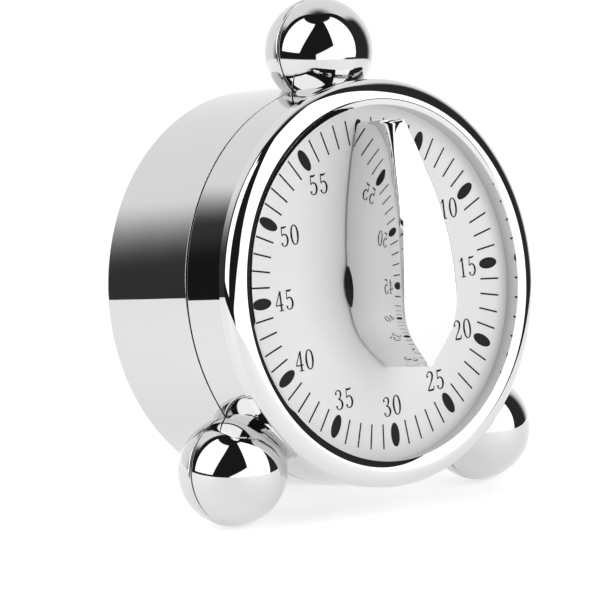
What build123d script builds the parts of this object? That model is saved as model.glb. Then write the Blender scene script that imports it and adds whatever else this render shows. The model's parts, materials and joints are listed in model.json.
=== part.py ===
"""Mechanical lab timer: a plated drum case on two ball feet, with a wing knob and a bell.

The case is modelled upright: X to the right as seen from the front, Y from the dial to
the back, Z up, with the middle of the dial's face at zero. At the end every piece is
leaned back on to the two feet and the rear edge, which is how the timer stands.
"""

from math import asin, atan2, cos, degrees, pi, radians, sin, sqrt, tan
import os

from build123d import *

# Driving dimensions, in millimetres and degrees
CASE_R = 31.75            # drum outside
CASE_WALL = 2.0
SEAM_Y = 8.4              # parting plane of the case, through the ball centres
BACK_Y = 28.0             # rear face of the drum
BACK_WALL = 2.0
BACK_EDGE_R = 0.3
BALL_R = 8.5
BALL_WALL = 1.6
BALL_PITCH_R = 36.9       # ball centres from the drum's axis
BALL_ANGLES = (90, -45, -135)
LIP_T = 1.0               # the front case's lip, inside the seam
LIP_ROOT = 3.0            # how far the lip starts in front of the seam
LIP_REACH = 1.6           # how far it goes past the seam
LIP_FIT = 0.05

BEZEL_R = 31.95           # outside of the rolled bezel
BEZEL_FRONT_Y = -2.95     # crest of the roll
BEZEL_CROWN_R = 2.85      # the front of the roll is broader than its shoulder
BEZEL_CROWN_AT = 29.49    # radius of the crown's centre
BEZEL_LIP_DEG = -125      # where the roll ends over the dial
BEZEL_TURN_DEG = -50      # where the crown gives way to the tighter shoulder
BEZEL_FOOT_Y = 0.5        # where the bezel meets the case
BEZEL_CHAMFER = 0.2
DIAL_BORE_R = 3.6
DIAL_FIT = 0.05           # between the dial's edge and the bezel
DIAL_R = 29.0
DIAL_T = 0.9
DIAL_TURN = -1.5          # the dial and knob sit this far round from the top ball

KNOB_FRONT_Y = -12.5
KNOB_GAP = 0.3            # between the dial and the knob's skirt
KNOB_HALF_W = 6.35
KNOB_WIDE_Z = -1.5        # where the wing is widest
KNOB_TIP_Z = 25.3
KNOB_TIP_HALF_W = 1.25
KNOB_TAIL_Z = -13.0
KNOB_DRAFT = 5.0
KNOB_CROWN_R = 85.0
KNOB_CROWN_Z = 7.0
KNOB_TIP_FILLET = 1.1
KNOB_TAIL_FILLET = 2.0
SKIRT_R = 7.1
SKIRT_T = 1.3
SOCKET_END_Y = -8.0
CLIP_T = 0.4              # spring sleeve between the knob and the arbor
CLIP_SLIT = 0.8
ARBOR_FRONT_Y = -7.6

WEB_T = 1.5               # web of the front case, behind the dial
WEB_BORE_R = 22.0
PLATE_T = 1.0
PLATE_R = 24.6
FRONT_PLATE_Y = DIAL_T + WEB_T
REAR_PLATE_Y = 18.0
ARBOR_CIRCLE_R = 17.5     # every train arbor stands this far from the main arbor
MAIN_ARBOR_R = 2.2
MAIN_PIVOT_R = 1.5
ARBOR_R = 0.7
STAFF_R = 1.0
SHAKE = 0.3               # end shake between a staff's shoulder and its plate
RUN_GAP = 0.05            # radial running clearance
CUT = 1.0                 # how far a cutter passes the face it leaves by

MAIN_TEETH, MAIN_MODULE = 60, 0.5
TRAIN_TEETH, TRAIN_MODULE = 36, 0.4
PINION_TEETH = 10
PRESSURE_DEG = 25.0
ADDENDUM = 0.8            # in modules
DEDENDUM = 1.15
THINNING = 0.16           # taken off each flank, in modules
TRAIN_PITCH = (TRAIN_TEETH + PINION_TEETH) * TRAIN_MODULE / 2
TRAIN_STEP = degrees(2 * asin(TRAIN_PITCH / 2 / ARBOR_CIRCLE_R))
SECOND_AT = -20.0
THIRD_AT = SECOND_AT - TRAIN_STEP
ESCAPE_AT = THIRD_AT - TRAIN_STEP
BALANCE_AT = ESCAPE_AT - 27.0
HAMMER_AT = 120.0
PILLAR_ANGLES = (35, 90, 150, 205)
PILLAR_PITCH_R = 22.0
PILLAR_R = 1.6
PILLAR_PIVOT_R = 0.9
PLATE_WINDOW_R = 4.0
PLATE_WINDOW_PITCH_R = 12.5

LEVEL_A = 5.6             # second wheel and escape wheel
LEVEL_B = 8.4             # third wheel
CAM_Y = 9.8
MAIN_WHEEL_Y = 12.0
RATCHET_Y = 13.2
SPRING_Y = 14.8
SPRING_W = 2.4
WHEEL_T = 0.8
WHEEL_RIM_T = 1.8
PINION_OVERLAP = 0.6      # how far the driven pinion stands past the main wheel
PINION_CORE_R = 0.5       # open core of the leaves, filled by the staff
LEAF_FRONT = 0.4          # train pinions, in front of and behind their wheel's face
LEAF_BACK = 1.2
SPOKE_W = 1.6
HUB_T = 1.4

BELL_R = 15.0
BELL_T = 0.8
BELL_RIM_Y = 20.0
BELL_TOP_Y = 24.6
BOSS_PITCH_R = 27.7
BOSS_R = 1.9
BOSS_ANGLES = (90, 210, 330)
BOSS_END_Y = 24.0
SLOT_COUNT = 12           # sound slots in the back wall
SLOT_INNER_R = 10.0
SLOT_OUTER_R = 19.0
SLOT_W = 1.6
MOUNT_PITCH_R = 23.3
MOUNT_ANGLES = (60, 180, 300)

SCREW_R = 1.0             # shank of the case and bell screws, and their tapped holes
SCREW_PASS_R = 1.15
SCREW_RECESS_R = 2.3
SCREW_RECESS = 1.4
MOUNT_SCREW_R = 0.9
PLATE_SCREW_R = 0.8
DRIVER_W = 0.9            # screwdriver slots
DRIVER_DEPTH = 0.5


def disc(radius, y0, y1, x=0.0, z=0.0):
    """A cylinder along Y from y0 to y1."""
    turned = Rot(-90, 0, 0) * Cylinder(radius, y1 - y0, align=(Align.CENTER, Align.CENTER, Align.MIN))
    return Pos(x, y0, z) * turned


def ring(outer, inner, y0, y1, x=0.0, z=0.0):
    """A washer-shaped solid along Y."""
    return disc(outer, y0, y1, x, z) - disc(inner, y0 - 1, y1 + 1, x, z)


def on_circle(radius, angle):
    """The X and Z of a point at a radius and an angle from +X, as seen from the front."""
    return radius * cos(radians(angle)), radius * sin(radians(angle))


def slab(points, y0, y1):
    """A prism along Y from X, Z points."""
    outline = Polyline([(x, z) for x, z in points], close=True)
    return extrude_along_y(make_face(outline), y0, y1)


def extrude_along_y(face, y0, y1, taper=0.0):
    """Lifts a face drawn in X, Z from y1 towards y0, so a taper narrows its front."""
    raised = extrude(face, amount=y1 - y0, taper=taper)
    return Pos(0, y1, 0) * Rot(90, 0, 0) * raised


def revolve_about_y(points):
    """Spins a closed outline of radius, Y points about the Y axis."""
    outline = make_face(Polyline([(r, y) for r, y in points], close=True))
    return revolve(outline, axis=Axis.Y)


def ball(angle, radius, y0, y1):
    """The part of a ball between two Y planes."""
    x, z = on_circle(BALL_PITCH_R, angle)
    whole = Pos(x, SEAM_Y, z) * Sphere(radius)
    middle = (y0 + y1) / 2
    return whole & (Pos(x, middle, z) * Box(40, y1 - y0, 40))


def ball_shells(y0, y1):
    """The three half balls on one side of the parting plane, hollow inside."""
    drum = disc(CASE_R - CASE_WALL, -5, 40)
    solids = []
    for angle in BALL_ANGLES:
        shell = ball(angle, BALL_R, y0, y1) - ball(angle, BALL_R - BALL_WALL, y0, y1)
        solids.append(shell - drum)
    return solids


# Case -------------------------------------------------------------------------

def make_front_case():
    inner_r = CASE_R - CASE_WALL
    case = ring(CASE_R, inner_r, BEZEL_FOOT_Y, SEAM_Y)
    case += ring(inner_r, inner_r - LIP_T, SEAM_Y - LIP_ROOT, SEAM_Y + LIP_REACH)
    case -= ring(inner_r + 0.01, inner_r - LIP_FIT, SEAM_Y, SEAM_Y + LIP_REACH + CUT)
    case += ring(inner_r, WEB_BORE_R, DIAL_T, DIAL_T + WEB_T)
    for shell in ball_shells(SEAM_Y - 10, SEAM_Y):
        case += shell
    for angle in BOSS_ANGLES:
        x, z = on_circle(BOSS_PITCH_R, angle)
        case += disc(BOSS_R, DIAL_T + 1, BOSS_END_Y, x, z)
        case -= disc(SCREW_R, BOSS_END_Y - 8, BOSS_END_Y + CUT, x, z)
    for angle in MOUNT_ANGLES:
        x, z = on_circle(MOUNT_PITCH_R, angle)
        case -= disc(MOUNT_SCREW_R, DIAL_T - CUT, FRONT_PLATE_Y + CUT, x, z)
    return case


def make_rear_case():
    inner_r = CASE_R - CASE_WALL
    case = ring(CASE_R, inner_r, SEAM_Y, BACK_Y - 1)
    case += disc(CASE_R, BACK_Y - BACK_WALL, BACK_Y)
    rear_rim = case.edges().filter_by(GeomType.CIRCLE).sort_by(Axis.Y)[-1]
    case = fillet(rear_rim, BACK_EDGE_R)
    for shell in ball_shells(SEAM_Y, SEAM_Y + 10):
        case += shell
    bell_post_r = 3.0
    case += disc(bell_post_r, BELL_TOP_Y, BACK_Y - 1)
    case -= disc(SCREW_R, BELL_TOP_Y - CUT, BACK_Y - 0.8)
    for angle in BOSS_ANGLES:
        x, z = on_circle(BOSS_PITCH_R, angle)
        case += disc(BOSS_R, BOSS_END_Y, BACK_Y - 1, x, z)
        case -= disc(SCREW_PASS_R, BOSS_END_Y - CUT, BACK_Y + CUT, x, z)
        case -= disc(SCREW_RECESS_R, BACK_Y - SCREW_RECESS, BACK_Y + CUT, x, z)
    for slot in sound_slots():
        case -= slot
    return case


def sound_slots():
    """Short straight slots in the back wall, in a fan around the bell."""
    middle = (SLOT_INNER_R + SLOT_OUTER_R) / 2
    step = 360 / SLOT_COUNT
    slots = []
    for index in range(SLOT_COUNT):
        body = Pos(middle, BACK_Y, 0) * Box(SLOT_OUTER_R - SLOT_INNER_R, 3 * BACK_WALL, SLOT_W)
        for end in (SLOT_INNER_R, SLOT_OUTER_R):
            body += disc(SLOT_W / 2, BACK_Y - 3, BACK_Y + 3, end, 0)
        slots.append(Rot(0, (index + 0.5) * step, 0) * body)
    return slots


def point_on_arc(centre, radius, angle):
    """A point on a section arc; angle 0 points outwards and -90 to the front."""
    return centre[0] + radius * cos(radians(angle)), centre[1] + radius * sin(radians(angle))


def roll_arcs():
    """The two arcs of the bezel's roll: a broad crown and a tighter shoulder."""
    crown = (BEZEL_CROWN_AT, BEZEL_FRONT_Y + BEZEL_CROWN_R)
    lean = cos(radians(BEZEL_TURN_DEG))
    shoulder_r = (BEZEL_R - BEZEL_CROWN_AT - BEZEL_CROWN_R * lean) / (1 - lean)
    shoulder = point_on_arc(crown, BEZEL_CROWN_R - shoulder_r, BEZEL_TURN_DEG)
    arcs = []
    for centre, radius, start, end in (
        (crown, BEZEL_CROWN_R, BEZEL_LIP_DEG, BEZEL_TURN_DEG),
        (shoulder, shoulder_r, BEZEL_TURN_DEG, 0),
    ):
        stations = (start, (start + end) / 2, end)
        arcs.append([point_on_arc(centre, radius, angle) for angle in stations])
    return arcs


def make_bezel():
    """A rolled ring with an inner wall down to the dial and a snap skirt in the case."""
    crown, shoulder = roll_arcs()
    inner_r = crown[0][0]
    skirt_r = CASE_R - CASE_WALL
    seat_r = DIAL_R + DIAL_FIT
    corners = [
        shoulder[-1],
        (BEZEL_R, BEZEL_FOOT_Y - BEZEL_CHAMFER),
        (BEZEL_R - BEZEL_CHAMFER, BEZEL_FOOT_Y),
        (skirt_r, BEZEL_FOOT_Y),
        (skirt_r, DIAL_T),
        (seat_r, DIAL_T),
        (seat_r, 0),
        (inner_r, 0),
        crown[0],
    ]
    with BuildSketch() as section:
        with BuildLine():
            ThreePointArc(*crown)
            ThreePointArc(*shoulder)
            Polyline(*corners)
        make_face()
    return revolve(section.sketch, axis=Axis.Y)


def make_dial():
    return ring(DIAL_R, DIAL_BORE_R, 0, DIAL_T)


# Knob -------------------------------------------------------------------------

def arc_through(wide_x, wide_z, end_x, end_z):
    """An arc that leaves the widest point along Z and ends at the given point."""
    drop = wide_x - end_x
    rise = end_z - wide_z
    radius = (drop**2 + rise**2) / (2 * drop)
    half_rise = rise / 2
    half_x = wide_x - (radius - sqrt(radius**2 - half_rise**2))
    return (wide_x, wide_z), (half_x, wide_z + half_rise), (end_x, end_z)


def knob_outline():
    """The leaf-shaped plan of the wing: long blunt point up, short round tail down."""
    tip = arc_through(KNOB_HALF_W, KNOB_WIDE_Z, KNOB_TIP_HALF_W, KNOB_TIP_Z)
    tail = arc_through(KNOB_HALF_W, KNOB_WIDE_Z, 0.0, KNOB_TAIL_Z)
    with BuildSketch() as plan:
        with BuildLine():
            ThreePointArc(*tip)
            Line((KNOB_TIP_HALF_W, KNOB_TIP_Z), (-KNOB_TIP_HALF_W, KNOB_TIP_Z))
            ThreePointArc(*[(-x, z) for x, z in tip])
            ThreePointArc(*tail)
            ThreePointArc(*[(-x, z) for x, z in tail])
        make_face()
        tail_corner = plan.vertices().sort_by(Axis.Y)[0]
        fillet(tail_corner, KNOB_TAIL_FILLET)
        tip_corners = plan.vertices().sort_by(Axis.Y)[-2:]
        fillet(tip_corners, KNOB_TIP_FILLET)
    return plan.sketch


def make_knob():
    base_y = -KNOB_GAP - SKIRT_T
    wing = extrude_along_y(knob_outline(), KNOB_FRONT_Y - 2, -KNOB_GAP, KNOB_DRAFT)
    crown_y = KNOB_FRONT_Y + KNOB_CROWN_R
    crown = Pos(0, crown_y, KNOB_CROWN_Z) * Rot(0, 90, 0) * Cylinder(KNOB_CROWN_R, 40)
    wing = wing & crown
    knob = wing + disc(SKIRT_R, base_y, -KNOB_GAP)
    socket = disc(MAIN_ARBOR_R + CLIP_T, SOCKET_END_Y, CUT)
    return knob - socket


def make_knob_clip():
    """A split spring sleeve between the knob's socket and the arbor."""
    sleeve_end_y = -1.0
    sleeve = ring(MAIN_ARBOR_R + CLIP_T, MAIN_ARBOR_R, ARBOR_FRONT_Y, sleeve_end_y)
    return sleeve - Pos(0, -4, MAIN_ARBOR_R) * Box(CLIP_SLIT, 9, 3)


# Wheels -----------------------------------------------------------------------

def tooth_points(teeth, module):
    """Half the width angle of a tooth at its root, pitch and tip, with each radius."""
    pitch_r = teeth * module / 2
    base_r = pitch_r * cos(radians(PRESSURE_DEG))
    tip_r = pitch_r + ADDENDUM * module
    root_r = pitch_r - DEDENDUM * module
    half_pitch_angle = pi / (2 * teeth) - THINNING * module / pitch_r
    involute = tan(radians(PRESSURE_DEG)) - radians(PRESSURE_DEG)
    stations = []
    for radius in (max(base_r, root_r + 0.02), pitch_r, (pitch_r + tip_r) / 2, tip_r):
        ratio = min(1.0, base_r / radius)
        pressure = atan2(sqrt(1 - ratio**2), ratio)
        spread = half_pitch_angle + involute - (tan(pressure) - pressure)
        stations.append((radius, spread))
    stations.insert(0, (root_r, stations[0][1]))
    return stations


def gear(teeth, module, y0, y1, bore_r, phase_deg, centre=(0.0, 0.0)):
    """A spur gear with a tooth pointing along phase_deg."""
    points = []
    stations = tooth_points(teeth, module)
    for index in range(teeth):
        middle = radians(phase_deg) + 2 * pi * index / teeth
        for radius, spread in stations:
            points.append(polar(radius, middle - spread, centre))
        for radius, spread in reversed(stations):
            points.append(polar(radius, middle + spread, centre))
    solid = slab(points, y0, y1)
    return solid - disc(bore_r, y0 - 1, y1 + 1, *centre)


def polar(radius, angle, centre):
    return centre[0] + radius * cos(angle), centre[1] + radius * sin(angle)


def gap_phase(direction, teeth):
    """The phase that puts a gap, not a tooth, along a direction."""
    return direction + 180 / teeth


def spoke_window(radius_in, radius_out, y0, y1, centre):
    """The four openings that leave a wheel with four spokes."""
    window = ring(radius_out, radius_in, y0 - 1, y1 + 1, *centre)
    middle = Pos(centre[0], (y0 + y1) / 2, centre[1])
    for length, height in ((3 * radius_out, SPOKE_W), (SPOKE_W, 3 * radius_out)):
        window -= middle * Box(length, 9, height)
    return window


def bearing(first, second):
    """The direction from one X, Z point to another, in degrees."""
    return degrees(atan2(second[1] - first[1], second[0] - first[0]))


CENTRE = (0.0, 0.0)
SECOND = on_circle(ARBOR_CIRCLE_R, SECOND_AT)
THIRD = on_circle(ARBOR_CIRCLE_R, THIRD_AT)
ESCAPE = on_circle(ARBOR_CIRCLE_R, ESCAPE_AT)
BALANCE = on_circle(ARBOR_CIRCLE_R, BALANCE_AT)
HAMMER = on_circle(ARBOR_CIRCLE_R, HAMMER_AT)


def make_wheel(teeth, module, y0, centre, phase, bore_r=STAFF_R):
    """A brass wheel with four spokes."""
    wheel = gear(teeth, module, y0, y0 + WHEEL_T, bore_r, phase, centre)
    rim_r = teeth * module / 2 - WHEEL_RIM_T
    return wheel - spoke_window(bore_r + HUB_T, rim_r, y0, y0 + WHEEL_T, centre)


def make_main_wheel():
    phase = bearing(CENTRE, SECOND)
    return make_wheel(MAIN_TEETH, MAIN_MODULE, MAIN_WHEEL_Y, CENTRE, phase, MAIN_ARBOR_R)


def make_second_pinion():
    phase = gap_phase(bearing(SECOND, CENTRE), PINION_TEETH)
    front = MAIN_WHEEL_Y - PINION_OVERLAP
    back = MAIN_WHEEL_Y + WHEEL_T + PINION_OVERLAP
    leaves = gear(PINION_TEETH, MAIN_MODULE, front, back, PINION_CORE_R, phase, SECOND)
    return leaves + make_staff(SECOND)


def make_staff(centre, body_r=STAFF_R):
    """A steel staff with a thin pivot in each plate and a shoulder for its wheel."""
    front = FRONT_PLATE_Y + PLATE_T
    staff = disc(ARBOR_R, FRONT_PLATE_Y, REAR_PLATE_Y + PLATE_T, *centre)
    staff += disc(body_r, front + SHAKE, REAR_PLATE_Y - SHAKE, *centre)
    return staff


def make_train_pinion(centre, driver, level):
    """A pinion on its staff, with a gap facing the wheel that drives it."""
    phase = gap_phase(bearing(centre, driver), PINION_TEETH)
    front = level - LEAF_FRONT
    back = level + LEAF_BACK
    leaves = gear(PINION_TEETH, TRAIN_MODULE, front, back, PINION_CORE_R, phase, centre)
    return leaves + make_staff(centre)


def make_second_wheel():
    phase = bearing(SECOND, THIRD)
    return make_wheel(TRAIN_TEETH, TRAIN_MODULE, LEVEL_A, SECOND, phase)


def make_third_wheel():
    phase = bearing(THIRD, ESCAPE)
    return make_wheel(TRAIN_TEETH, TRAIN_MODULE, LEVEL_B, THIRD, phase)


def make_escape_wheel():
    """A small wheel with fifteen raked teeth."""
    teeth = 15
    root_r = 3.5
    tip_r = 4.6
    land_r = 4.5
    points = []
    for index in range(teeth):
        start = 2 * pi * index / teeth
        points.append(polar(root_r, start, ESCAPE))
        points.append(polar(tip_r, start + 0.05, ESCAPE))
        points.append(polar(land_r, start + 0.10, ESCAPE))
        points.append(polar(root_r, start + 0.28, ESCAPE))
    wheel = slab(points, LEVEL_A, LEVEL_A + WHEEL_T)
    return wheel - disc(STAFF_R, LEVEL_A - CUT, LEVEL_A + WHEEL_T + CUT, *ESCAPE)


def make_balance():
    """The staff, balance disc and two-pin pallet that the escape wheel rocks."""
    disc_y = 7.4
    rim_r = 4.9
    rim_t = 1.2
    pin_r = 0.3
    pin_at = 35               # each pin's bearing from the escape wheel's
    part = make_staff(BALANCE, 0.9)
    part += ring(rim_r, rim_r - rim_t, disc_y, disc_y + WHEEL_T, *BALANCE)
    part += Pos(BALANCE[0], disc_y + WHEEL_T / 2, BALANCE[1]) * Box(8.4, WHEEL_T, 1.4)
    towards = bearing(BALANCE, ESCAPE)
    for offset in (-pin_at, pin_at):
        reach = polar(3.0, radians(towards + offset), BALANCE)
        part += disc(pin_r, LEVEL_A - 0.4, disc_y, *reach)
    return part + pallet_arm(towards, pin_at)


def pallet_arm(towards, pin_at):
    """The forked plate that carries the two pins."""
    hub_r = 1.2
    fork_r = 3.5
    half_tine = 7
    outline = [(hub_r, -100)]
    outline += [(fork_r, -pin_at - half_tine), (fork_r, -pin_at + half_tine)]
    outline += [(hub_r, 0)]
    outline += [(fork_r, pin_at - half_tine), (fork_r, pin_at + half_tine)]
    outline += [(hub_r, 100)]
    points = [polar(radius, radians(towards + angle), BALANCE) for radius, angle in outline]
    return slab(points, LEVEL_A, LEVEL_A + 0.6)


# Power and winding --------------------------------------------------------------

def make_main_arbor():
    collar_r = 3.2
    arbor = disc(MAIN_ARBOR_R, ARBOR_FRONT_Y, REAR_PLATE_Y - SHAKE)
    arbor += disc(MAIN_PIVOT_R, REAR_PLATE_Y - 1, REAR_PLATE_Y + PLATE_T + 0.4)
    arbor += ring(collar_r, MAIN_ARBOR_R - 0.1, FRONT_PLATE_Y + PLATE_T + SHAKE, CAM_Y)
    return arbor


CLICK_PIVOT = on_circle(9.6, 62)
CLICK_T = 0.8
RIVET_R = 0.7


def make_ratchet_wheel():
    teeth = 24
    tip_r = 6.4
    root_r = 5.6
    points = []
    for index in range(teeth):
        start = 2 * pi * index / teeth
        points.append(polar(tip_r, start, CENTRE))
        points.append(polar(root_r, start + 0.03, CENTRE))
    wheel = slab(points, RATCHET_Y, RATCHET_Y + 1.0)
    return wheel - disc(MAIN_ARBOR_R, RATCHET_Y - CUT, RATCHET_Y + 1.0 + CUT)


def make_click():
    """A pawl on a rivet, lying against the ratchet wheel."""
    nose = polar(6.6, radians(92), CENTRE)
    heel = polar(8.2, radians(94), CENTRE)
    outer = polar(11.0, radians(66), CENTRE)
    inner = polar(8.2, radians(60), CENTRE)
    pawl = slab([inner, nose, heel, outer], RATCHET_Y, RATCHET_Y + CLICK_T)
    pawl += disc(1.5, RATCHET_Y, RATCHET_Y + CLICK_T, *CLICK_PIVOT)
    return pawl - disc(RIVET_R, RATCHET_Y - CUT, RATCHET_Y + CLICK_T + CUT, *CLICK_PIVOT)


def make_click_rivet():
    head_y = RATCHET_Y + CLICK_T
    shank = disc(RIVET_R, RATCHET_Y - 0.4, head_y, *CLICK_PIVOT)
    return shank + disc(1.2, head_y, head_y + 0.4, *CLICK_PIVOT)


def make_click_spring():
    """A bent wire that presses the pawl on to the ratchet."""
    radius = 12.4
    arc = ring(radius, radius - 0.4, RATCHET_Y, RATCHET_Y + 0.5)
    sector = [on_circle(1, 80), on_circle(30, 76), on_circle(30, 150)]
    keep = slab(sector, RATCHET_Y - 1, RATCHET_Y + 2)
    foot = on_circle(radius - 0.2, 146)
    return (arc & keep) + disc(0.8, RATCHET_Y - 0.2, RATCHET_Y + 0.5, *foot)


def make_cam():
    """The let-off cam, a round plate with one sharp step."""
    cam_r = 7.0
    step_r = 5.0
    cam_t = 1.0
    step_at = radians(HAMMER_AT - 8)
    wedge = [(step_r, step_at), (cam_r + 2, step_at), (cam_r + 2, step_at - 0.5)]
    notch = slab([polar(radius, at, CENTRE) for radius, at in wedge], CAM_Y - CUT, CAM_Y + cam_t + CUT)
    plate = ring(cam_r, MAIN_ARBOR_R, CAM_Y, CAM_Y + cam_t)
    return plate - notch


def make_mainspring():
    """A flat spiral ribbon between the arbor and a pillar."""
    turns = 6.5
    start_r = MAIN_ARBOR_R + 0.25
    growth = 1.55
    thick = 0.35
    steps = 12
    inner_side = []
    outer_side = []
    for index in range(int(turns * steps) + 1):
        angle = 2 * pi * index / steps
        radius = start_r + growth * index / steps
        inner_side.append(polar(radius, angle, CENTRE))
        outer_side.append(polar(radius + thick, angle, CENTRE))
    with BuildSketch() as ribbon:
        with BuildLine():
            Spline(*inner_side)
            Line(inner_side[-1], outer_side[-1])
            Spline(*outer_side)
            Line(outer_side[0], inner_side[0])
        make_face()
    return extrude_along_y(ribbon.sketch, SPRING_Y, SPRING_Y + SPRING_W)


# Frame ------------------------------------------------------------------------

def plate_holes(y0, main_bore_r):
    holes = [disc(main_bore_r + RUN_GAP, y0 - 1, y0 + 2)]
    for centre in (SECOND, THIRD, ESCAPE, BALANCE):
        holes.append(disc(ARBOR_R + RUN_GAP, y0 - 1, y0 + 2, *centre))
    holes.append(disc(STAFF_R + RUN_GAP, y0 - 1, y0 + 2, *HAMMER))
    for angle in PILLAR_ANGLES:
        holes.append(disc(PILLAR_PIVOT_R, y0 - 1, y0 + 2, *on_circle(PILLAR_PITCH_R, angle)))
    return holes


def make_front_plate():
    plate = disc(PLATE_R, FRONT_PLATE_Y, FRONT_PLATE_Y + PLATE_T)
    for hole in plate_holes(FRONT_PLATE_Y, MAIN_ARBOR_R):
        plate -= hole
    for angle in MOUNT_ANGLES:
        plate -= disc(1.0, FRONT_PLATE_Y - 1, FRONT_PLATE_Y + 2, *on_circle(MOUNT_PITCH_R, angle))
    for window in plate_windows((0, 62, 180), FRONT_PLATE_Y):
        plate -= window
    return plate


def plate_windows(angles, y0):
    """Round openings that lighten a plate."""
    centres = [on_circle(PLATE_WINDOW_PITCH_R, angle) for angle in angles]
    return [disc(PLATE_WINDOW_R, y0 - CUT, y0 + PLATE_T + CUT, *centre) for centre in centres]


def make_rear_plate():
    plate = disc(PLATE_R - 0.2, REAR_PLATE_Y, REAR_PLATE_Y + PLATE_T)
    for hole in plate_holes(REAR_PLATE_Y, MAIN_PIVOT_R):
        plate -= hole
    for window in plate_windows((45, 180, 235), REAR_PLATE_Y):
        plate -= window
    return plate


def make_pillars():
    front = FRONT_PLATE_Y + PLATE_T
    posts = []
    for angle in PILLAR_ANGLES:
        x, z = on_circle(PILLAR_PITCH_R, angle)
        post = disc(PILLAR_R, front, REAR_PLATE_Y, x, z)
        post += disc(PILLAR_PIVOT_R, FRONT_PLATE_Y, front, x, z)
        posts.append(post - disc(PLATE_SCREW_R, REAR_PLATE_Y - 4, REAR_PLATE_Y + CUT, x, z))
    return posts


def make_screws(angles, pitch_r, under_head_y, shank_end_y, shank_r, head_r, head_h):
    """Slotted screws along Y; the head is at under_head_y, on the far side of the shank."""
    away = 1 if shank_end_y < under_head_y else -1
    head_end = under_head_y + away * head_h
    low, high = sorted((under_head_y, head_end))
    near, far = sorted((under_head_y, shank_end_y))
    screws = []
    for angle in angles:
        x, z = on_circle(pitch_r, angle)
        screw = disc(head_r, low, high, x, z) + disc(shank_r, near, far, x, z)
        slot = Pos(x, head_end, z) * Box(3 * head_r, DRIVER_W, DRIVER_DEPTH)
        screws.append(screw - slot)
    return screws


# Striking work ------------------------------------------------------------------

def make_bell():
    """A shallow gong with a flat crown, open towards the movement."""
    flat_r = 6
    under_y = BELL_TOP_Y - BELL_T
    outer_bend = (12.4, BELL_TOP_Y - 1.5)
    inner_bend = (11.8, BELL_TOP_Y - 2.1)
    with BuildSketch() as section:
        with BuildLine():
            Line((0, BELL_TOP_Y), (flat_r, BELL_TOP_Y))
            ThreePointArc((flat_r, BELL_TOP_Y), outer_bend, (BELL_R, BELL_RIM_Y))
            Line((BELL_R, BELL_RIM_Y), (BELL_R - BELL_T, BELL_RIM_Y))
            ThreePointArc((BELL_R - BELL_T, BELL_RIM_Y), inner_bend, (flat_r, under_y))
            Polyline((flat_r, under_y), (0, under_y), (0, BELL_TOP_Y))
        make_face()
    bell = revolve(section.sketch, axis=Axis.Y)
    return bell - disc(1.2, BELL_TOP_Y - 3, BELL_TOP_Y + 1)


def make_bell_screw():
    head_y = BELL_TOP_Y - BELL_T - 1.0
    screw = disc(2.2, head_y, BELL_TOP_Y - BELL_T) + disc(SCREW_R, head_y, BACK_Y - 1.0)
    return screw - Pos(0, head_y, 0) * Box(6, DRIVER_W, DRIVER_DEPTH)


HEAD_AT = on_circle(BELL_R + 2.5, 165)


def make_hammer():
    """The hammer, its staff and the lifting finger that the cam trips."""
    arm_y = 20.2
    hub_end_y = 22.0
    head_end_y = 23.2
    part = disc(STAFF_R, FRONT_PLATE_Y, hub_end_y, *HAMMER)
    part += disc(1.6, FRONT_PLATE_Y + PLATE_T + SHAKE, REAR_PLATE_Y - SHAKE, *HAMMER)
    part += disc(1.9, arm_y, hub_end_y, *HAMMER)
    away = bearing(HAMMER, HEAD_AT)
    length = sqrt((HEAD_AT[0] - HAMMER[0]) ** 2 + (HEAD_AT[1] - HAMMER[1]) ** 2)
    part += bar_between(HAMMER, away, length, 1.0, arm_y + 0.2, arm_y + 1.2)
    part += disc(2.0, arm_y, head_end_y, *HEAD_AT)
    finger = bearing(HAMMER, CENTRE)
    part += bar_between(HAMMER, finger, ARBOR_CIRCLE_R - 7.8, 0.9, CAM_Y, CAM_Y + 0.9)
    return part


def bar_between(start, direction, length, half_width, y0, y1):
    side = radians(direction + 90)
    end = polar(length, radians(direction), start)
    return slab(
        [
            polar(half_width, side, start),
            polar(-half_width, side, start),
            polar(-half_width * 0.8, side, end),
            polar(half_width * 0.8, side, end),
        ],
        y0,
        y1,
    )


def make_hammer_spring():
    """A torsion coil of steel wire around the hammer's staff."""
    wire_r = 0.22
    coil = Helix(pitch=0.75, height=3.0, radius=2.1)
    start = coil @ 0
    section = Plane(start, z_dir=coil % 0) * Circle(wire_r)
    wire = sweep(section, path=coil, is_frenet=True)
    return Pos(HAMMER[0], 13.6, HAMMER[1]) * Rot(-90, 0, 0) * wire


# Assembly -----------------------------------------------------------------------

def turned(part):
    """Sets the dial's own turn on a piece that is drawn with its zero straight up."""
    return Rot(0, DIAL_TURN, 0) * part


def lean_angle():
    """The lean at which both feet and the rear edge touch one plane."""
    edge_y = BACK_Y - BACK_EDGE_R
    edge_z = -(CASE_R - BACK_EDGE_R)
    foot_z = -BALL_PITCH_R * sin(radians(45))
    across = edge_y - SEAM_Y
    down = foot_z - edge_z
    span = sqrt(across**2 + down**2)
    return degrees(asin((BALL_R - BACK_EDGE_R) / span) - atan2(down, across))


LEAN = lean_angle()


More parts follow.
